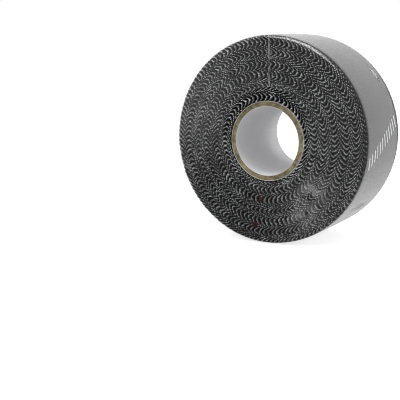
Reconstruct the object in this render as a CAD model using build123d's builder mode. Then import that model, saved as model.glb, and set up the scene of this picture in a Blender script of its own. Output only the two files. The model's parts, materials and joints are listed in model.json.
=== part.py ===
"""Shrink-wrapped roll of pinked-edge cloth grip tape on a paperboard core.

The roll stands on its rim: its axis is Y, +Z is up, and the face that looks towards -Y is its front.
The origin is on the core's axis, halfway between the two faces. All lengths are in millimetres.
"""

import os
from math import cos, pi, radians, sin, sqrt

from build123d import *

# Tape
TAPE_WIDTH = 38.0
TAPE_LENGTH = 13250.0
ROLL_RADIUS = 40.0  # to the outside of the last turn, at its free end
TAPE_END_ANGLE = 205.0  # where the last turn starts, counter-clockwise from +X as seen from the front
TAPE_END_GAP = 0.7  # degrees by which the free end stops short of a full last turn

# Core: paper liner, three board plies and a paper wrap, from the bore outwards
BORE_RADIUS = 13.2
LINER_THICKNESS = 0.2
BOARD_PLY_THICKNESS = 0.58
BOARD_PLY_COUNT = 3
WRAP_THICKNESS = 0.21
CORE_RECESS = 0.87  # how far each end of the core sits behind the tape's edges

# Shrink film
FILM_GAUGE = 0.05
FRONT_OPENING_RADIUS = 18.9
FRONT_OPENING_RISE = 1.5  # the film shrank unevenly, so each opening is a little off the axis
BACK_OPENING_RADIUS = 22.6
BACK_OPENING_RISE = -0.9
SEAM_WIDTH = 0.6
SEAM_OFFSET = 1.6  # the seam's centre line, to the +X side of the top
SEAM_END_HEIGHT = 22.0  # the seam stops this far above the axis, just short of the openings
STAND_WIDTH = 3.6  # the film is pressed flat over this width where the roll stands

# Print on the film: rows of plain bars, set at a slant across the barrel
INK_THICKNESS = 0.03
PRINT_ROWS = 3
PRINT_ANGLE = -1.0  # the first row's middle, counter-clockwise from +X as seen from the front
PRINT_SLANT = 27.0
BAR_COUNT = 12
BAR_PITCH = 2.7
BAR_WIDTH = 0.9
BAR_HEIGHT = 4.6
BAR_LEAN = 1.2  # how far the top of a bar leads its foot

# Sizes that follow from those
core_length = TAPE_WIDTH - 2 * CORE_RECESS
board_radius = BORE_RADIUS + LINER_THICKNESS
wrap_radius = board_radius + BOARD_PLY_COUNT * BOARD_PLY_THICKNESS
core_radius = wrap_radius + WRAP_THICKNESS
turn_thickness = pi * (ROLL_RADIUS**2 - core_radius**2) / TAPE_LENGTH
turn_count = (ROLL_RADIUS - core_radius) / turn_thickness
sleeve_radius = ROLL_RADIUS + FILM_GAUGE
sleeve_length = TAPE_WIDTH + 2 * FILM_GAUGE
stand_depth = sqrt(sleeve_radius**2 - (STAND_WIDTH / 2) ** 2)

# Sketches are drawn as seen from the front, with X to the right and Z up. The tape's is turned so
# that its last turn starts at a local angle of zero.
FRONT_VIEW = Plane.XZ
TAPE_VIEW = Plane.XZ.rotated((0, -TAPE_END_ANGLE, 0))


def finish(piece, name):
    """Label a finished piece and write it as the sub-part of that name."""
    piece.label = name
    export_step(piece, f"parts/{name}.step")


def spiral_turn(outer_radius, start_angle=0):
    """Draw one turn that closes in by a turn's thickness, as arcs about two centres. Return its start."""
    shift = turn_thickness / 4
    first_half = CenterArc((shift, 0), outer_radius - shift, start_angle, 180 - start_angle)
    CenterArc((-shift, 0), outer_radius - 3 * shift, 180, 180)
    return first_half @ 0


def circle_on_flat(radius, depth):
    """Draw a circle that is cut off flat at that depth below its centre."""
    Circle(radius)
    with Locations((0, (radius - depth) / 2)):
        Rectangle(2 * radius, radius + depth, mode=Mode.INTERSECT)


os.makedirs("parts", exist_ok=True)

# ---------------------------------------------------------------- core

with BuildPart() as core_bore_liner:
    with BuildSketch(FRONT_VIEW):
        Circle(board_radius)
        Circle(BORE_RADIUS, mode=Mode.SUBTRACT)
    extrude(amount=core_length / 2, both=True)
finish(core_bore_liner.part, "core_bore_liner")

for ply in range(BOARD_PLY_COUNT):
    ply_radius = board_radius + ply * BOARD_PLY_THICKNESS
    with BuildPart() as core_board_ply:
        with BuildSketch(FRONT_VIEW):
            Circle(ply_radius + BOARD_PLY_THICKNESS)
            Circle(ply_radius, mode=Mode.SUBTRACT)
        extrude(amount=core_length / 2, both=True)
    finish(core_board_ply.part, f"core_board_ply_{ply + 1}")

with BuildPart() as core_outer_wrap:
    with BuildSketch(FRONT_VIEW):
        Circle(core_radius)
        Circle(wrap_radius, mode=Mode.SUBTRACT)
    extrude(amount=core_length / 2, both=True)
finish(core_outer_wrap.part, "core_outer_wrap")

# ---------------------------------------------------------------- tape

# All the turns below the last one: round inside, with the last turn's step on the outside.
with BuildPart() as tape_winding:
    with BuildSketch(TAPE_VIEW):
        with BuildLine():
            spiral_turn(ROLL_RADIUS - turn_thickness)
            Line((ROLL_RADIUS - 2 * turn_thickness, 0), (ROLL_RADIUS - turn_thickness, 0))
        make_face()
        Circle(core_radius, mode=Mode.SUBTRACT)
    extrude(amount=TAPE_WIDTH / 2, both=True)
finish(tape_winding.part, "tape_winding")

# The last turn, from the step in the winding round to the free end.
with BuildPart() as tape_outer_turn:
    with BuildSketch(TAPE_VIEW):
        with BuildLine():
            outer_end = spiral_turn(ROLL_RADIUS, TAPE_END_GAP)
            inner_end = spiral_turn(ROLL_RADIUS - turn_thickness, TAPE_END_GAP)
            Line(inner_end, outer_end)
            Line((ROLL_RADIUS - turn_thickness, 0), (ROLL_RADIUS - 2 * turn_thickness, 0))
        make_face()
    extrude(amount=TAPE_WIDTH / 2, both=True)
finish(tape_outer_turn.part, "tape_outer_turn")

# ---------------------------------------------------------------- shrink film

# A tube over the tape with a lip on each face, open along the seam and flat where the roll stands.
with BuildPart() as shrink_sleeve:
    with BuildSketch(FRONT_VIEW):
        circle_on_flat(sleeve_radius, stand_depth)
    extrude(amount=sleeve_length / 2, both=True)
    with BuildSketch(FRONT_VIEW):
        circle_on_flat(ROLL_RADIUS, stand_depth - FILM_GAUGE)
    extrude(amount=TAPE_WIDTH / 2, both=True, mode=Mode.SUBTRACT)
    with BuildSketch(FRONT_VIEW):
        with Locations((0, FRONT_OPENING_RISE)):
            Circle(FRONT_OPENING_RADIUS)
    extrude(amount=TAPE_WIDTH, mode=Mode.SUBTRACT)
    with BuildSketch(FRONT_VIEW):
        with Locations((0, BACK_OPENING_RISE)):
            Circle(BACK_OPENING_RADIUS)
    extrude(amount=-TAPE_WIDTH, mode=Mode.SUBTRACT)
    with BuildSketch(FRONT_VIEW):
        with Locations((SEAM_OFFSET, ROLL_RADIUS)):
            Rectangle(SEAM_WIDTH, 2 * (ROLL_RADIUS - SEAM_END_HEIGHT))
    extrude(amount=TAPE_WIDTH, both=True, mode=Mode.SUBTRACT)
finish(shrink_sleeve.part, "shrink_sleeve")

# The weld that closes the sleeve: flush with the lips, and a low bead on the barrel.
with BuildPart() as sleeve_seam:
    with BuildSketch(FRONT_VIEW):
        Circle(sleeve_radius + FILM_GAUGE)
    extrude(amount=sleeve_length / 2, both=True)
    with BuildSketch(FRONT_VIEW):
        Circle(ROLL_RADIUS)
    extrude(amount=TAPE_WIDTH / 2, both=True, mode=Mode.SUBTRACT)
    with BuildSketch(FRONT_VIEW):
        with Locations((SEAM_OFFSET, ROLL_RADIUS)):
            Rectangle(SEAM_WIDTH, 2 * (ROLL_RADIUS - SEAM_END_HEIGHT))
    extrude(amount=TAPE_WIDTH, both=True, mode=Mode.INTERSECT)
finish(sleeve_seam.part, "sleeve_seam")

# A shell as thick as the ink, which the bars are cut out of.
with BuildPart() as ink_shell:
    with BuildSketch(FRONT_VIEW):
        Circle(sleeve_radius + INK_THICKNESS)
        Circle(sleeve_radius, mode=Mode.SUBTRACT)
    extrude(amount=sleeve_length / 2, both=True)

with BuildPart() as sleeve_print:
    for row in range(PRINT_ROWS):
        row_angle = radians(PRINT_ANGLE + row * 360 / PRINT_ROWS)
        outward = Vector(cos(row_angle), 0, sin(row_angle))
        with BuildSketch(Plane(origin=outward * ROLL_RADIUS / 2, x_dir=(0, 1, 0), z_dir=outward)):
            with Locations(Location((0, 0, 0), (0, 0, PRINT_SLANT))):
                with GridLocations(BAR_PITCH, BAR_HEIGHT, BAR_COUNT, 1):
                    Polygon(
                        (-BAR_WIDTH / 2 - BAR_LEAN / 2, -BAR_HEIGHT / 2),
                        (BAR_WIDTH / 2 - BAR_LEAN / 2, -BAR_HEIGHT / 2),
                        (BAR_WIDTH / 2 + BAR_LEAN / 2, BAR_HEIGHT / 2),
                        (-BAR_WIDTH / 2 + BAR_LEAN / 2, BAR_HEIGHT / 2),
                    )
        extrude(amount=ROLL_RADIUS)
    add(ink_shell.part, mode=Mode.INTERSECT)
finish(sleeve_print.part, "sleeve_print")

print(f"core radius {core_radius:.2f}, {turn_count:.1f} turns of {turn_thickness:.4f} mm")
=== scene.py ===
import json
import math

import bpy
import numpy as np
from mathutils import Matrix, Vector


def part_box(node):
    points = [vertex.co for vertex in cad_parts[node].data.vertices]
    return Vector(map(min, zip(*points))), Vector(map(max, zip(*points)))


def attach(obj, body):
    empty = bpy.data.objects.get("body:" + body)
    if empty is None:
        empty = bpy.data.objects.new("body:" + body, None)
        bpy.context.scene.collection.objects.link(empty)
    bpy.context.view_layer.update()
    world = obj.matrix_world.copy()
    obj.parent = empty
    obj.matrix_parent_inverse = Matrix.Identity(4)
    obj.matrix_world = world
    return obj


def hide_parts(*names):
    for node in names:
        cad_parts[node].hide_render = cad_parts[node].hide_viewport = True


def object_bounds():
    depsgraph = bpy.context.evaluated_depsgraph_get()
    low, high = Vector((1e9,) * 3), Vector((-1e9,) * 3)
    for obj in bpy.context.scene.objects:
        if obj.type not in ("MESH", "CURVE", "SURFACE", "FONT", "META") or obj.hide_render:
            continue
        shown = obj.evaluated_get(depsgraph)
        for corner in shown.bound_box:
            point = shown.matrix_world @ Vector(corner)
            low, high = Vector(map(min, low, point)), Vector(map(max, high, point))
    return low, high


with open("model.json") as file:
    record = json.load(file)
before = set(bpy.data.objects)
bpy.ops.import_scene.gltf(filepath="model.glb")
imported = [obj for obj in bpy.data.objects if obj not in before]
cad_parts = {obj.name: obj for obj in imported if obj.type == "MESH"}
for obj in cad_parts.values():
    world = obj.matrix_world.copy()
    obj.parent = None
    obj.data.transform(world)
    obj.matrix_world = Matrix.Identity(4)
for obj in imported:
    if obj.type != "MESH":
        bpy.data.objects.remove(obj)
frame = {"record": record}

CAD_BOX = [list(corner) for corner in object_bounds()]
MM = 0.001

# ------------------------------------------------------------------ sizes, from the frame, in metres

HALF_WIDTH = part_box("tape_winding")[1][1]
SLEEVE_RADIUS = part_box("shrink_sleeve")[1][0]
SLEEVE_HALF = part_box("shrink_sleeve")[1][1]
FILM_GAUGE = SLEEVE_HALF - HALF_WIDTH
ROLL_RADIUS = SLEEVE_RADIUS - FILM_GAUGE
CORE_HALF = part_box("core_outer_wrap")[1][1]
CORE_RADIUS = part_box("core_outer_wrap")[1][0]
LINER_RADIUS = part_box("core_bore_liner")[1][0]
PLY_RADII = [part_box(f"core_board_ply_{ply}")[1][0] for ply in (1, 2, 3)]
BORE_RADIUS = next(m for m in frame["record"]["mounts"] if m["name"] == "bore")["dims"]["r_mm"] * MM
FLOOR_HEIGHT = CAD_BOX[0][2]

# ------------------------------------------------------------------ sizes of what only shows here

TURN = 0.3235 * MM  # one turn's share of the roll, and the tape itself is a little thinner
TAPE_THICKNESS = 0.265 * MM
TAPE_END = math.radians(205.7)  # where the free end lies, counter-clockwise from +X seen from the front
TOOTH_PITCH = 1.885 * MM
TOOTH_DEPTH = 1.3 * MM
TOOTH_STATIONS = [0.0, 0.08, 0.5, 0.58]  # a tip's two corners and a valley's, in pitches along the tape
PATH_STEPS = 60000  # steps in which the tape's spiral is measured along its length
SHOULDER_RADIAL = 1.1 * MM  # the film rounds the rims in a quarter ellipse of these two sizes
SHOULDER_AXIAL = 4.5 * MM
FRONT_OPENING = (18.9 * MM, 1.5 * MM)  # radius, and height of its centre above the axis
BACK_OPENING = (22.6 * MM, -0.9 * MM)
SEAM_OFFSET = 1.6 * MM
PRINT_ROWS, PRINT_ANGLE, PRINT_SLANT = 3, -1.0, 27.0
BAR_COUNT, BAR_PITCH, BAR_WIDTH, BAR_HEIGHT, BAR_LEAN = 12, 2.7 * MM, 0.9 * MM, 4.6 * MM, 1.2 * MM
BAR_SECTIONS, SECTION_POINTS = 7, 6
FILM_CLEARANCE = 0.004 * MM  # how far the film's inside lies off the tape
RED_SPECKS = [(-2.9 * MM, -22.6 * MM), (-4.9 * MM, -33.2 * MM)]  # X and Z of each, on the front face

rng = np.random.default_rng(7)


# ------------------------------------------------------------------ mesh helpers

def make_piece(name, points, quads, node_names, material, smooth=True):
    """A mesh object from arrays of points and of quads, which replaces the named CAD nodes."""
    mesh = bpy.data.meshes.new(name)
    mesh.vertices.add(len(points))
    mesh.vertices.foreach_set("co", np.asarray(points, dtype=np.float32).ravel())
    quads = np.asarray(quads, dtype=np.int32)
    mesh.loops.add(quads.size)
    mesh.loops.foreach_set("vertex_index", quads.ravel())
    mesh.polygons.add(len(quads))
    mesh.polygons.foreach_set("loop_start", np.arange(0, quads.size, 4, dtype=np.int32))
    mesh.polygons.foreach_set("loop_total", np.full(len(quads), 4, dtype=np.int32))
    mesh.polygons.foreach_set("use_smooth", np.full(len(quads), smooth))
    mesh.update(calc_edges=True)
    mesh.validate()
    piece = bpy.data.objects.new(name, mesh)
    bpy.context.scene.collection.objects.link(piece)
    mesh.materials.append(material)
    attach(piece, "root")
    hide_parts(*node_names)
    return piece


def attribute(piece, name, domain, values):
    """Store one number for each face or point of a piece, for its material to read."""
    layer = piece.data.attributes.new(name, "FLOAT", domain)
    layer.data.foreach_set("value", np.asarray(values, dtype=np.float32))


def closed_grid(rows, columns, offset=0, flip=False):
    """Quads of a grid of points that closes on itself both ways: rows x columns, row by row."""
    row, column = np.meshgrid(np.arange(rows), np.arange(columns), indexing="ij")
    next_row, next_column = (row + 1) % rows, (column + 1) % columns
    corners = [(row, column), (row, next_column), (next_row, next_column), (next_row, column)]
    quads = np.stack([offset + r * columns + c for r, c in corners], axis=-1).reshape(-1, 4)
    return quads[:, ::-1] if flip else quads


def around(radius, angle, depth):
    """Points at that radius and angle about the roll's axis, at that depth along it."""
    return np.stack([radius * np.cos(angle), depth + 0 * angle, radius * np.sin(angle)], axis=-1)


def ripple(angle, depth, waves):
    """A smooth uneven field from 0 to 1 over the barrel, from sine waves (turns, per metre, phase)."""
    total = sum(np.sin(turns * angle + per_metre * depth + phase) for turns, per_metre, phase in waves)
    return 0.5 + 0.5 * total / len(waves)


def random_waves(count, most_turns, most_per_metre):
    """Waves for ripple, each a whole number of turns round the roll so that they close."""
    return [
        (int(rng.integers(1, most_turns)), rng.uniform(-1, 1) * most_per_metre, rng.uniform(0, 2 * math.pi))
        for _ in range(count)
    ]


# ------------------------------------------------------------------ material helpers

class Nodes:
    """A short way to write a node tree."""

    def __init__(self, tree):
        self.tree = tree
        tree.nodes.clear()

    def add(self, kind, inputs=(), **settings):
        """Add a node; inputs maps its sockets to a value or to another node's output."""
        node = self.tree.nodes.new(kind)
        for key, value in settings.items():
            setattr(node, key, value)
        for key, value in dict(inputs).items():
            socket = node.inputs[key]
            if isinstance(value, bpy.types.NodeSocket):
                self.tree.links.new(value, socket)
            else:
                socket.default_value = value
        return node


def new_material(name):
    material = bpy.data.materials.new(name)
    material.use_nodes = True
    return material, Nodes(material.node_tree)


def grey(value, alpha=1.0):
    return (value, value, value, alpha)


# ------------------------------------------------------------------ materials

def tape_material():
    """Black cloth with a fine weave; its cut teeth are paler, each by its own amount, a few carry painted
    glints, and painted shade darkens each tooth from tip to valley.
    """
    material, n = new_material("pinked black cloth")
    place = n.add("ShaderNodeTexCoord").outputs["Object"]
    cut = n.add("ShaderNodeAttribute", attribute_name="cut_tone_and_glint").outputs["Fac"]
    tip = n.add("ShaderNodeAttribute", attribute_name="tooth_tip").outputs["Fac"]
    # Painted shade: tooth_tip to the power 4.5 fades each tooth's paler colour to black from tip to valley.
    # It stands in for the shade down between the teeth.
    painted_valley_shade = n.add("ShaderNodeMath", {0: tip, 1: 4.5}, operation="POWER").outputs[0]
    fibres = n.add("ShaderNodeTexNoise", {"Vector": place, "Scale": 4200.0, "Detail": 3.0})
    patches = n.add("ShaderNodeTexNoise", {"Vector": place, "Scale": 160.0, "Detail": 2.0})
    lint = n.add(
        "ShaderNodeMapRange",
        {"Value": fibres.outputs["Fac"], "From Min": 0.3, "From Max": 0.7, "To Min": 0.4, "To Max": 1.5},
    )
    uneven = n.add(
        "ShaderNodeMapRange",
        {"Value": patches.outputs["Fac"], "From Min": 0.3, "From Max": 0.7, "To Min": 0.7, "To Max": 1.25},
    )
    # Brightness of the cut teeth: each tooth's own paler tone or painted glint, times fibre lint, the
    # painted valley shade and random patches.
    lit = n.add("ShaderNodeMath", {0: cut, 1: lint.outputs["Result"]}, operation="MULTIPLY")
    lit = n.add("ShaderNodeMath", {0: lit.outputs[0], 1: painted_valley_shade}, operation="MULTIPLY")
    lit = n.add("ShaderNodeMath", {0: lit.outputs[0], 1: uneven.outputs["Result"]}, operation="MULTIPLY")
    colour = n.add(
        "ShaderNodeMix",
        {"Factor": lit.outputs[0], "A": (0.007, 0.007, 0.008, 1), "B": (0.96, 0.97, 0.98, 1)},
        data_type="RGBA",
    )
    red = n.add("ShaderNodeAttribute", attribute_name="red").outputs["Fac"]
    marked = n.add(
        "ShaderNodeMix",
        {"Factor": red, "A": colour.outputs["Result"], "B": (0.24, 0.004, 0.008, 1)},
        data_type="RGBA",
    )
    bump = n.add(
        "ShaderNodeBump", {"Height": fibres.outputs["Fac"], "Strength": 0.5, "Distance": 0.04 * MM}
    )
    shader = n.add(
        "ShaderNodeBsdfPrincipled",
        {
            "Base Color": marked.outputs["Result"],
            "Roughness": 0.7,
            "Specular IOR Level": 0.3,
            "Normal": bump.outputs["Normal"],
        },
    )
    n.add("ShaderNodeOutputMaterial", {"Surface": shader.outputs[0]})
    return material


def paper_material(name, light, dark, scale):
    """Matte paper or board: a mottled colour with short fibres and a little tooth."""
    material, n = new_material(name)
    place = n.add("ShaderNodeTexCoord").outputs["Object"]
    mottle = n.add("ShaderNodeTexNoise", {"Vector": place, "Scale": scale, "Detail": 4.0, "Roughness": 0.6})
    fibre = n.add("ShaderNodeTexNoise", {"Vector": place, "Scale": scale * 9, "Detail": 3.0})
    both = n.add(
        "ShaderNodeMath", {0: mottle.outputs["Fac"], 1: fibre.outputs["Fac"]}, operation="ADD"
    )
    share = n.add("ShaderNodeMapRange", {"Value": both.outputs[0], "From Min": 0.82, "From Max": 1.18})
    colour = n.add(
        "ShaderNodeMix",
        {"Factor": share.outputs["Result"], "A": (*dark, 1), "B": (*light, 1)},
        data_type="RGBA",
    )
    bump = n.add("ShaderNodeBump", {"Height": fibre.outputs["Fac"], "Strength": 0.4, "Distance": 0.05 * MM})
    shader = n.add(
        "ShaderNodeBsdfPrincipled",
        {
            "Base Color": colour.outputs["Result"],
            "Roughness": 0.85,
            "Specular IOR Level": 0.25,
            "Normal": bump.outputs["Normal"],
        },
    )
    n.add("ShaderNodeOutputMaterial", {"Surface": shader.outputs[0]})
    return material


def film_material(name):
    """Clear glossy film: see-through, mirror-like at low angles, hazy and creased where its attributes say
    so, and whitened as painted highlights at marked glints and along its crease lines.
    """
    material, n = new_material(name)
    place = n.add("ShaderNodeTexCoord").outputs["Object"]
    milky_and_highlight = n.add("ShaderNodeAttribute", attribute_name="milky_and_highlight").outputs["Fac"]
    creased = n.add("ShaderNodeAttribute", attribute_name="creased").outputs["Fac"]
    cloud = n.add("ShaderNodeTexNoise", {"Vector": place, "Scale": 260.0, "Detail": 4.0, "Roughness": 0.65})
    fold = n.add("ShaderNodeTexVoronoi", {"Vector": place, "Scale": 1050.0}, feature="DISTANCE_TO_EDGE")
    height = n.add("ShaderNodeMath", {0: fold.outputs["Distance"], 1: creased}, operation="MULTIPLY")
    bump = n.add("ShaderNodeBump", {"Height": height.outputs[0], "Strength": 1.0, "Distance": 0.9 * MM})
    patches = n.add(
        "ShaderNodeMapRange",
        {"Value": cloud.outputs["Fac"], "From Min": 0.38, "From Max": 0.66, "To Min": 0.0, "To Max": 1.7},
    )
    haze_and_highlight = n.add("ShaderNodeMath", {0: milky_and_highlight, 1: patches.outputs["Result"]}, operation="MULTIPLY")
    # Painted highlights: thin white lines along the Voronoi crease edges, as strong as the creased
    # attribute, added to the hazy patches.
    line = n.add(
        "ShaderNodeMapRange",
        {
            "Value": fold.outputs["Distance"],
            "From Min": 0.02,
            "From Max": 0.12,
            "To Min": 1.0,
            "To Max": 0.0,
        },
    )
    crease_glint_lines = n.add("ShaderNodeMath", {0: line.outputs["Result"], 1: creased}, operation="MULTIPLY")
    haze_and_highlight = n.add("ShaderNodeMath", {0: haze_and_highlight.outputs[0], 1: crease_glint_lines.outputs[0]}, operation="ADD")
    clear = n.add("ShaderNodeBsdfTransparent", {"Color": grey(0.985)})
    white = n.add("ShaderNodeBsdfDiffuse", {"Color": grey(0.8)})
    body = n.add("ShaderNodeMixShader", {0: haze_and_highlight.outputs[0], 1: clear.outputs[0], 2: white.outputs[0]})
    gloss = n.add(
        "ShaderNodeBsdfGlossy", {"Color": grey(1.0), "Roughness": 0.1, "Normal": bump.outputs["Normal"]}
    )
    weight = n.add("ShaderNodeLayerWeight", {"Blend": 0.5, "Normal": bump.outputs["Normal"]})
    steep = n.add("ShaderNodeMath", {0: weight.outputs["Facing"], 1: 5.0}, operation="POWER")
    mirror = n.add("ShaderNodeMapRange", {"Value": steep.outputs[0], "To Min": 0.04, "To Max": 1.0})
    shader = n.add("ShaderNodeMixShader", {0: mirror.outputs[0], 1: body.outputs[0], 2: gloss.outputs[0]})
    n.add("ShaderNodeOutputMaterial", {"Surface": shader.outputs[0]})
    return material


def ink_material():
    """White ink, a little thin and uneven."""
    material, n = new_material("white ink")
    place = n.add("ShaderNodeTexCoord").outputs["Object"]
    grain = n.add("ShaderNodeTexNoise", {"Vector": place, "Scale": 1500.0, "Detail": 2.0})
    colour = n.add(
        "ShaderNodeMix",
        {"Factor": grain.outputs["Fac"], "A": grey(0.78), "B": grey(0.95)},
        data_type="RGBA",
    )
    shader = n.add("ShaderNodeBsdfPrincipled", {"Base Color": colour.outputs["Result"], "Roughness": 0.4})
    n.add("ShaderNodeOutputMaterial", {"Surface": shader.outputs[0]})
    return material


def floor_material():
    """A white floor, over-lit as the camera sees it, that throws little light back on the roll."""
    material, n = new_material("pale floor")
    seen = n.add("ShaderNodeLightPath").outputs["Is Camera Ray"]
    shade = n.add("ShaderNodeBsdfDiffuse", {"Color": grey(0.5)})
    white = n.add("ShaderNodeBsdfDiffuse", {"Color": grey(0.95)})
    lamp = n.add("ShaderNodeEmission", {"Color": grey(1.0), "Strength": 0.7})
    lit = n.add("ShaderNodeAddShader", {0: white.outputs[0], 1: lamp.outputs[0]})
    shader = n.add("ShaderNodeMixShader", {0: seen, 1: shade.outputs[0], 2: lit.outputs[0]})
    n.add("ShaderNodeOutputMaterial", {"Surface": shader.outputs[0]})
    return material


# ------------------------------------------------------------------ wound tape

# Waves that gather the teeth's painted glints into patches.
GLINT_CLUSTER_WAVES = random_waves(7, 4, 900)


def shoulder_drop(radius):
    """How far the shoulder has come in from the face at that radius."""
    share = np.clip((radius - (ROLL_RADIUS - SHOULDER_RADIAL)) / SHOULDER_RADIAL, 0, 0.995)
    return SHOULDER_AXIAL * (1 - np.sqrt(1 - share**2))


def wound_tape():
    """One ribbon, pinked along both edges, wound from the core out to the free end.

    Each tooth has four stations along the tape, two at its tip and two at the valley after it, and
    each station has four points: inner and outer side at the front edge, then at the back edge.
    """
    first_radius = CORE_RADIUS + TURN / 2
    last_radius = ROLL_RADIUS - TURN / 2
    sweep = (last_radius - first_radius) / TURN * 2 * math.pi
    path_swept = np.linspace(0, sweep, PATH_STEPS)
    uneven = 0.03 * np.sin(path_swept / 9.3 + 1.0) + 0.02 * np.sin(path_swept / 23.0 + 2.2)
    uneven = uneven * np.sin(math.pi * path_swept / sweep) ** 0.5 * MM
    path_radius = np.linspace(first_radius, last_radius, PATH_STEPS) + uneven
    path_along = np.concatenate([[0], np.cumsum(path_radius[1:] * np.diff(path_swept))])

    teeth = int(path_along[-1] / TOOTH_PITCH)
    tooth = np.repeat(np.arange(teeth), 4)
    part = np.tile(TOOTH_STATIONS, teeth)
    valley = np.tile([0.0, 0.0, 1.0, 1.0], teeth)
    along = (tooth + part + np.repeat(rng.normal(0, 0.05, teeth), 4)) * TOOTH_PITCH
    along = np.clip(along, 0, path_along[-1])
    swept = np.interp(along, path_along, path_swept)
    radius = np.interp(along, path_along, path_radius)
    angle = TAPE_END + sweep - swept

    depth = TOOTH_DEPTH * np.repeat(rng.normal(1, 0.12, teeth), 4)
    wander = 0.05 * MM * (1 + np.sin(swept * 0.37) * np.sin(swept * 0.11 + 1.3))
    front = -HALF_WIDTH + wander + shoulder_drop(radius) + depth * valley
    back = HALF_WIDTH - wander - shoulder_drop(radius) - depth * (1 - valley)

    inner, outer = radius - TAPE_THICKNESS / 2, radius + TAPE_THICKNESS / 2
    corners = [(inner, front), (outer, front), (outer, back), (inner, back)]
    points = np.stack([around(side, angle, edge) for side, edge in corners], axis=1).reshape(-1, 3)

    stations = len(along)
    here = np.arange(stations - 1)[:, None] * 4
    sides = [(0, 1), (1, 2), (2, 3), (3, 0)]
    quads = np.concatenate(
        [np.concatenate([here + a, here + b, here + 4 + b, here + 4 + a], axis=1) for a, b in sides]
    )
    last = (stations - 1) * 4
    ends = np.array([[3, 2, 1, 0], [last, last + 1, last + 2, last + 3]])
    quads = np.concatenate([quads, ends])

    nodes = ["tape_winding", "tape_outer_turn"]
    piece = make_piece("wound_tape", points, quads, nodes, tape_material(), smooth=False)
    middle = around(radius, angle, front)[::4]
    # Each tooth's cut edge gets its own random paler tone. Where the glint field is high, up to nine teeth
    # in ten get 5.0 instead, a painted glint that whitens them fully.
    glint_cluster = ripple(middle[:, 0] / (4 * MM), middle[:, 2], GLINT_CLUSTER_WAVES) ** 3
    pale = np.clip(rng.lognormal(-0.42, 0.6, teeth), 0.1, 1.8)
    pale = np.repeat(np.where(rng.random(teeth) < 0.9 * glint_cluster, 5.0, pale), 4)[:-1]
    cloth = np.zeros(stations - 1)
    attribute(piece, "cut_tone_and_glint", "FACE", np.concatenate([pale, cloth, pale, cloth, [0, 0]]))
    # tooth_tip is 1 at each tooth's tip and 0 at its valley. The cloth material raises it to a power as
    # painted shade in the valleys.
    tip = np.stack([1 - valley, 1 - valley, valley, valley], axis=1).ravel()
    attribute(piece, "tooth_tip", "POINT", tip)
    away = [np.hypot((points[:, 0] - x) / 0.5, (points[:, 2] - z) / 1.3) for x, z in RED_SPECKS]
    attribute(piece, "red", "POINT", (np.min(away, axis=0) < MM) & (points[:, 1] < 0))
    return piece


# ------------------------------------------------------------------ core

def core_ring(name, inner, outer, node_name, material, ragged):
    """A tube with softened edges, whose cut ends are rough by up to ragged."""
    columns = 360
    angle = np.arange(columns) * 2 * math.pi / columns
    soft = min(0.08 * MM, (outer - inner) / 4)
    profile = [
        (inner, -CORE_HALF + soft), (inner + soft, -CORE_HALF), ((inner + outer) / 2, -CORE_HALF),
        (outer - soft, -CORE_HALF), (outer, -CORE_HALF + soft), (outer, 0.0), (outer, CORE_HALF - soft),
        (outer - soft, CORE_HALF), ((inner + outer) / 2, CORE_HALF), (inner + soft, CORE_HALF),
        (inner, CORE_HALF - soft), (inner, 0.0),
    ]
    rows = []
    for radius, depth in profile:
        rough = rng.uniform(0, ragged, columns) if depth else np.zeros(columns)
        rough = (rough + np.roll(rough, 1) + np.roll(rough, 2)) / 3
        rows.append(around(radius, angle, depth - np.sign(depth) * rough))
    points = np.concatenate(rows)
    quads = closed_grid(len(profile), columns, flip=True)
    return make_piece(name, points, quads, [node_name], material)


def paper_core():
    """The core from the bore outwards: liner, board plies and wrap."""
    white = paper_material("white core paper", (0.80, 0.80, 0.81), (0.76, 0.76, 0.77), 220)
    cream = paper_material("cream core paper", (0.93, 0.92, 0.87), (0.84, 0.82, 0.75), 300)
    board = paper_material("grey-brown core board", (0.52, 0.44, 0.28), (0.15, 0.125, 0.072), 420)
    core_ring("bore_liner", BORE_RADIUS, LINER_RADIUS, "core_bore_liner", white, 0.03 * MM)
    inner = LINER_RADIUS
    for ply, outer in enumerate(PLY_RADII, start=1):
        name = f"core_board_ply_{ply}"
        core_ring(f"board_ply_{ply}", inner, outer, name, board, 0.12 * MM)
        inner = outer
    core_ring("outer_wrap", inner, CORE_RADIUS, "core_outer_wrap", cream, 0.04 * MM)


# ------------------------------------------------------------------ shrink film

BARREL_WAVES = random_waves(9, 9, 90)
LIP_WAVES = random_waves(9, 26, 300)
PUCKER_WAVES = [
    (int(turns), 0.0, phase) for turns, phase in zip(rng.integers(50, 140, 8), rng.uniform(0, 6.28, 8))
]


def opening_edge(opening, angle):
    """The distance from the axis to the edge of an opening whose centre is off the axis."""
    radius, rise = opening
    edge = rise * np.sin(angle) + np.sqrt(radius**2 - (rise * np.cos(angle)) ** 2)
    return edge + 0.22 * MM * np.sin(5 * angle + 0.6) + 0.12 * MM * np.sin(13 * angle)


def barrel_radius(angle, depth):
    """Where the film's inside lies on the barrel, with its gentle swells and the puckers near the rims."""
    share = depth / (HALF_WIDTH - SHOULDER_AXIAL)
    pucker = 0.10 * MM * ripple(angle, 0 * angle, PUCKER_WAVES) ** 3 * abs(share) ** 8
    swell = 0.10 * MM * ripple(angle, depth, BARREL_WAVES) * (1 - share**2)
    return ROLL_RADIUS + swell + pucker


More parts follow.
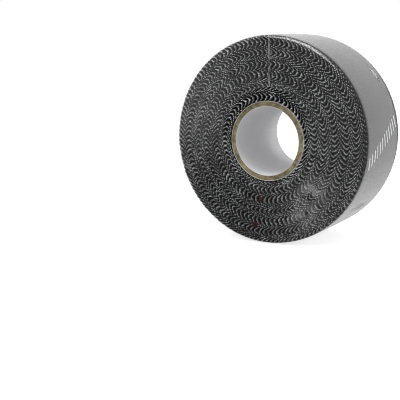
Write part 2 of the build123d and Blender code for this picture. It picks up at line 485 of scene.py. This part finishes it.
def film_profile(angle, lift):
    """Rows of points from the front opening over the barrel to the back one, lift outside the tape."""
    rows = []
    flat_radius = ROLL_RADIUS - SHOULDER_RADIAL
    lip_shares = [0, 0.01, 0.03, 0.08, 0.16, 0.25, 0.34, 0.43, 0.52, 0.61, 0.7, 0.78, 0.86, 0.93]
    bends = [math.pi / 2 * step / 8 for step in range(9)]
    flat_half = HALF_WIDTH - SHOULDER_AXIAL

    def lip(opening, side):
        edge = opening_edge(opening, angle)
        for share in lip_shares:
            radius = edge + (flat_radius - edge) * share
            swell = 0.05 * MM * ripple(angle, radius, LIP_WAVES) * min(1, share * 6)
            rows.append(around(radius, angle, side * (HALF_WIDTH + lift + swell)))

    def shoulder(side):
        pucker = 0.10 * MM * ripple(angle, 0 * angle, PUCKER_WAVES) ** 3
        for bend in bends:
            radius = flat_radius + (SHOULDER_RADIAL + lift + pucker * math.sin(bend)) * math.sin(bend)
            depth = flat_half + (SHOULDER_AXIAL + lift + pucker * math.cos(bend)) * math.cos(bend)
            rows.append(around(radius, angle, side * depth))

    lip(FRONT_OPENING, -1)
    shoulder(-1)
    for share in np.linspace(-1, 1, 49)[1:-1]:
        rows.append(around(barrel_radius(angle, share * flat_half) + lift, angle, share * flat_half))
    front_rows = len(rows)
    shoulder(1)
    rows[front_rows:] = rows[front_rows:][::-1]
    start = len(rows)
    lip(BACK_OPENING, 1)
    rows[start:] = rows[start:][::-1]
    return rows


def spot(points, centre, reach):
    """A soft spot, 1 at its centre, that fades over the reach along each axis."""
    return np.exp(-(((points - np.array(centre)) / np.array(reach)) ** 2).sum(axis=1))


def shrink_film(material):
    """The clear sleeve: its outside and its inside, joined at the openings, with its marks: hazy patches,
    creases and painted highlights.
    """
    columns = 720
    angle = np.arange(columns) * 2 * math.pi / columns
    outside = film_profile(angle, FILM_GAUGE)
    inside = film_profile(angle, FILM_CLEARANCE)[::-1]
    points = np.concatenate(outside + inside)
    quads = closed_grid(len(outside) * 2, columns, flip=True)
    piece = make_piece("film_sleeve", points, quads, ["shrink_sleeve"], material)

    turn = np.degrees(np.arctan2(points[:, 2], points[:, 0]))
    up_the_rim = (np.hypot(points[:, 0], points[:, 2]) - (ROLL_RADIUS - SHOULDER_RADIAL)) / SHOULDER_RADIAL
    # Painted highlight: a whitened, creased band on the front shoulder at the top right, centred 68 degrees
    # round.
    rim_highlight = (points[:, 1] < 0) * np.exp(-(((up_the_rim - 0.4) / 0.25) ** 2) - ((turn - 68) / 15) ** 4)
    # Whitened patches on the front face, lower right, where the film stands off the tape: partly real
    # hazing, partly a painted reflection.
    loose_haze_and_reflection = spot(points, (0.0195, -HALF_WIDTH, -0.0175), (0.006, 0.002, 0.0045))
    loose_haze_and_reflection += spot(points, (0.0165, -HALF_WIDTH, -0.0275), (0.0065, 0.002, 0.0045))
    # A thin whitened arc along the front opening's edge: the film's thick edge, with a painted glint on it.
    past_edge = np.hypot(points[:, 0], points[:, 2]) - opening_edge(FRONT_OPENING, np.radians(turn))
    rolled_edge_glint = (points[:, 1] < 0) * np.exp(-((past_edge / (0.25 * MM)) ** 2))
    # A crinkle on the barrel at the upper right towards the back, with a streak lower down. The creases are
    # bumps, and the crinkle's whitened patch is a painted highlight.
    crease_star_glint = spot(points, (0.0314, 0.0117, 0.0248), (0.0026, 0.0013, 0.0026))
    streak = spot(points, (0.0303, 0.001, -0.0262), (0.0022, 0.009, 0.0022))
    # A little real hazing everywhere, plus the painted highlights and the partly painted reflection marked
    # above.
    attribute(piece, "milky_and_highlight", "POINT", 0.004 + 0.15 * loose_haze_and_reflection + 0.3 * crease_star_glint + 0.35 * rim_highlight + 0.15 * rolled_edge_glint)
    attribute(piece, "creased", "POINT", 0.01 + 1.8 * crease_star_glint + 0.4 * streak + 0.5 * rim_highlight)
    return piece


def film_seam(material):
    """The weld bead: a low ridge along the film from opening to opening."""
    across = np.array([-1, -0.5, 0, 0.5, 1]) * 0.22 * MM
    ridge = [0.0, 0.05 * MM, 0.07 * MM, 0.05 * MM, 0.0]
    angle = math.pi / 2 - (SEAM_OFFSET + across) / SLEEVE_RADIUS
    top = [
        np.stack(film_profile(angle[i : i + 1], FILM_GAUGE + 0.002 * MM + rise))[:, 0]
        for i, rise in enumerate(ridge)
    ]
    under = np.stack(film_profile(angle, FILM_GAUGE - 0.01 * MM))
    loop = np.concatenate([np.stack(top, axis=1), under[:, ::-1]], axis=1)
    offset = SEAM_OFFSET + np.concatenate([across, across[::-1]])
    height = np.sqrt(loop[:, :, 0] ** 2 + loop[:, :, 2] ** 2 - offset**2)
    loop = np.stack([offset + 0 * height, loop[:, :, 1], height], axis=-1)
    count = loop.shape[1]
    quads = closed_grid(len(loop), count)[: (len(loop) - 1) * count]
    piece = make_piece("film_seam", loop.reshape(-1, 3), quads, ["sleeve_seam"], material)
    attribute(piece, "milky_and_highlight", "POINT", np.full(loop.size // 3, 0.22))
    attribute(piece, "creased", "POINT", np.full(loop.size // 3, 0.1))
    return piece


def printed_bars(material):
    """Slanted bars in rows on the film. Each is a thin curved slip, made of sections of six points."""
    slant = math.radians(PRINT_SLANT)
    edge = np.array([-1, 0, 1, 1, 0, -1])
    raised = np.array([1, 1, 1, 0, 0, 0])
    rise = np.linspace(-1, 1, BAR_SECTIONS)[:, None]
    end = (BAR_SECTIONS - 1) * SECTION_POINTS
    first_cap = np.array([[0, 1, 4, 5], [1, 2, 3, 4]])
    caps = np.concatenate([first_cap, first_cap[:, ::-1] + end])
    points, quads = [], []
    for row in range(PRINT_ROWS):
        row_angle = math.radians(PRINT_ANGLE + row * 360 / PRINT_ROWS)
        for bar in range(BAR_COUNT):
            along = (bar - (BAR_COUNT - 1) / 2) * BAR_PITCH + edge * BAR_WIDTH / 2 + rise * BAR_LEAN / 2
            up = rise * BAR_HEIGHT / 2 + 0 * edge
            depth = along * math.cos(slant) - up * math.sin(slant)
            angle = row_angle + np.arcsin((along * math.sin(slant) + up * math.cos(slant)) / ROLL_RADIUS)
            radius = barrel_radius(angle, depth) + FILM_GAUGE + (raised * 0.018 - 0.006) * MM
            first = len(points) * BAR_SECTIONS * SECTION_POINTS
            points.append(around(radius, angle, depth).reshape(-1, 3))
            quads.append(closed_grid(BAR_SECTIONS, SECTION_POINTS, first, flip=True)[:end])
            quads.append(caps + first)
    points, quads = np.concatenate(points), np.concatenate(quads)
    return make_piece("printed_bars", points, quads, ["sleeve_print"], material, smooth=False)


# ------------------------------------------------------------------ stage, light and camera

def soft_light(name, place, target, size, power):
    data = bpy.data.lights.new(name, "AREA")
    data.shape = "RECTANGLE"
    data.size, data.size_y = size
    data.energy = power
    light = bpy.data.objects.new(name, data)
    bpy.context.scene.collection.objects.link(light)
    light.location = place
    light.rotation_euler = (Vector(target) - Vector(place)).to_track_quat("-Z", "Y").to_euler()
    light.visible_glossy = False


def studio_room():
    """White to the camera, softly lit for matte surfaces, and with a bright backdrop for glossy ones.

    What the film mirrors is dim ahead of the roll, with a pale card and a dark flag low on the left, and
    bright behind and above it.
    """
    world = bpy.data.worlds.new("studio")
    bpy.context.scene.world = world
    world.use_nodes = True
    n = Nodes(world.node_tree)
    x, y, z = n.add("ShaderNodeSeparateXYZ", {0: n.add("ShaderNodeTexCoord").outputs["Generated"]}).outputs

    def fade(value, start, end, low=0.0, high=1.0):
        numbers = {"Value": value, "From Min": start, "From Max": end, "To Min": low, "To Max": high}
        return n.add("ShaderNodeMapRange", numbers, interpolation_type="SMOOTHSTEP").outputs["Result"]

    def times(one, other):
        return n.add("ShaderNodeMath", {0: one, 1: other}, operation="MULTIPLY").outputs[0]

    def mix(factor, one, other):
        numbers = {"Factor": factor, "A": one, "B": other}
        return n.add("ShaderNodeMix", numbers, data_type="FLOAT").outputs["Result"]

    card = times(fade(x, -0.47, -0.51), fade(z, -0.118, -0.108))
    flag = times(fade(x, -0.39, -0.43), fade(z, -0.108, -0.118))
    ahead = mix(flag, mix(card, 0.17, 0.6), 0.02)
    backdrop = times(fade(y, 0.8, 0.88), fade(y, 0.985, 0.96))
    low = times(fade(x, -0.15, -0.3), fade(z, -0.1, -0.25))
    ceiling = times(fade(z, 0.8, 0.88), fade(y, 0.75, 0.6))
    mirrored = mix(ceiling, mix(backdrop, ahead, mix(low, fade(x, -0.4, 0.3, 0.72, 0.86), 0.6)), 3.5)
    matte = mix(fade(z, 0.1, 0.8), fade(y, -0.5, 0.6, 0.3, 1.0), 0.45)
    path = n.add("ShaderNodeLightPath").outputs
    level = mix(path["Is Camera Ray"], mix(path["Is Glossy Ray"], matte, mirrored), 1.0)
    light = n.add("ShaderNodeBackground", {"Color": grey(1.0), "Strength": level})
    n.add("ShaderNodeOutputWorld", {"Surface": light.outputs[0]})


def pale_floor():
    bpy.ops.mesh.primitive_plane_add(size=6, location=(0, 0, FLOOR_HEIGHT))
    floor = bpy.context.object
    floor.name = "floor"
    floor.data.materials.append(floor_material())
    floor.visible_glossy = False


def photo_camera():
    """The camera stands ahead of the roll's front face, to its right, and looks a little down."""
    yaw, pitch, roll = math.radians(31.12), math.radians(10.31), math.radians(-1.11)
    ahead = Vector((-math.sin(yaw) * math.cos(pitch), math.cos(yaw) * math.cos(pitch), -math.sin(pitch)))
    right = ahead.cross(Vector((0, 0, 1))).normalized()
    up = right.cross(ahead)
    tilted_right = math.cos(roll) * right + math.sin(roll) * up
    tilted_up = math.cos(roll) * up - math.sin(roll) * right
    data = bpy.data.cameras.new("camera")
    data.sensor_width = 36
    data.lens = 77.67
    data.clip_start, data.clip_end = 0.01, 20
    camera = bpy.data.objects.new("camera", data)
    bpy.context.scene.collection.objects.link(camera)
    turn = Matrix((tilted_right, tilted_up, -ahead)).transposed()
    camera.matrix_world = Matrix.Translation((0.1475, -0.3126, 0.0374)) @ turn.to_4x4()
    bpy.context.scene.camera = camera


# ------------------------------------------------------------------ the whole scene

wound_tape()
paper_core()
film = film_material("clear shrink film")
shrink_film(film)
film_seam(film)
printed_bars(ink_material())

studio_room()
pale_floor()
soft_light("key", (-0.35, -0.45, 0.55), (0, 0, 0), (0.9, 0.9), 3.0)
soft_light("top", (-0.03, -0.1, 0.65), (0, 0, 0), (0.5, 0.2), 1.2)
soft_light("fill", (0.62, 0.1, 0.22), (0, 0, 0), (0.4, 0.3), 1.6)
photo_camera()
bpy.context.scene.cycles.filter_width = 0.95
bpy.context.scene.view_settings.view_transform = "Standard"
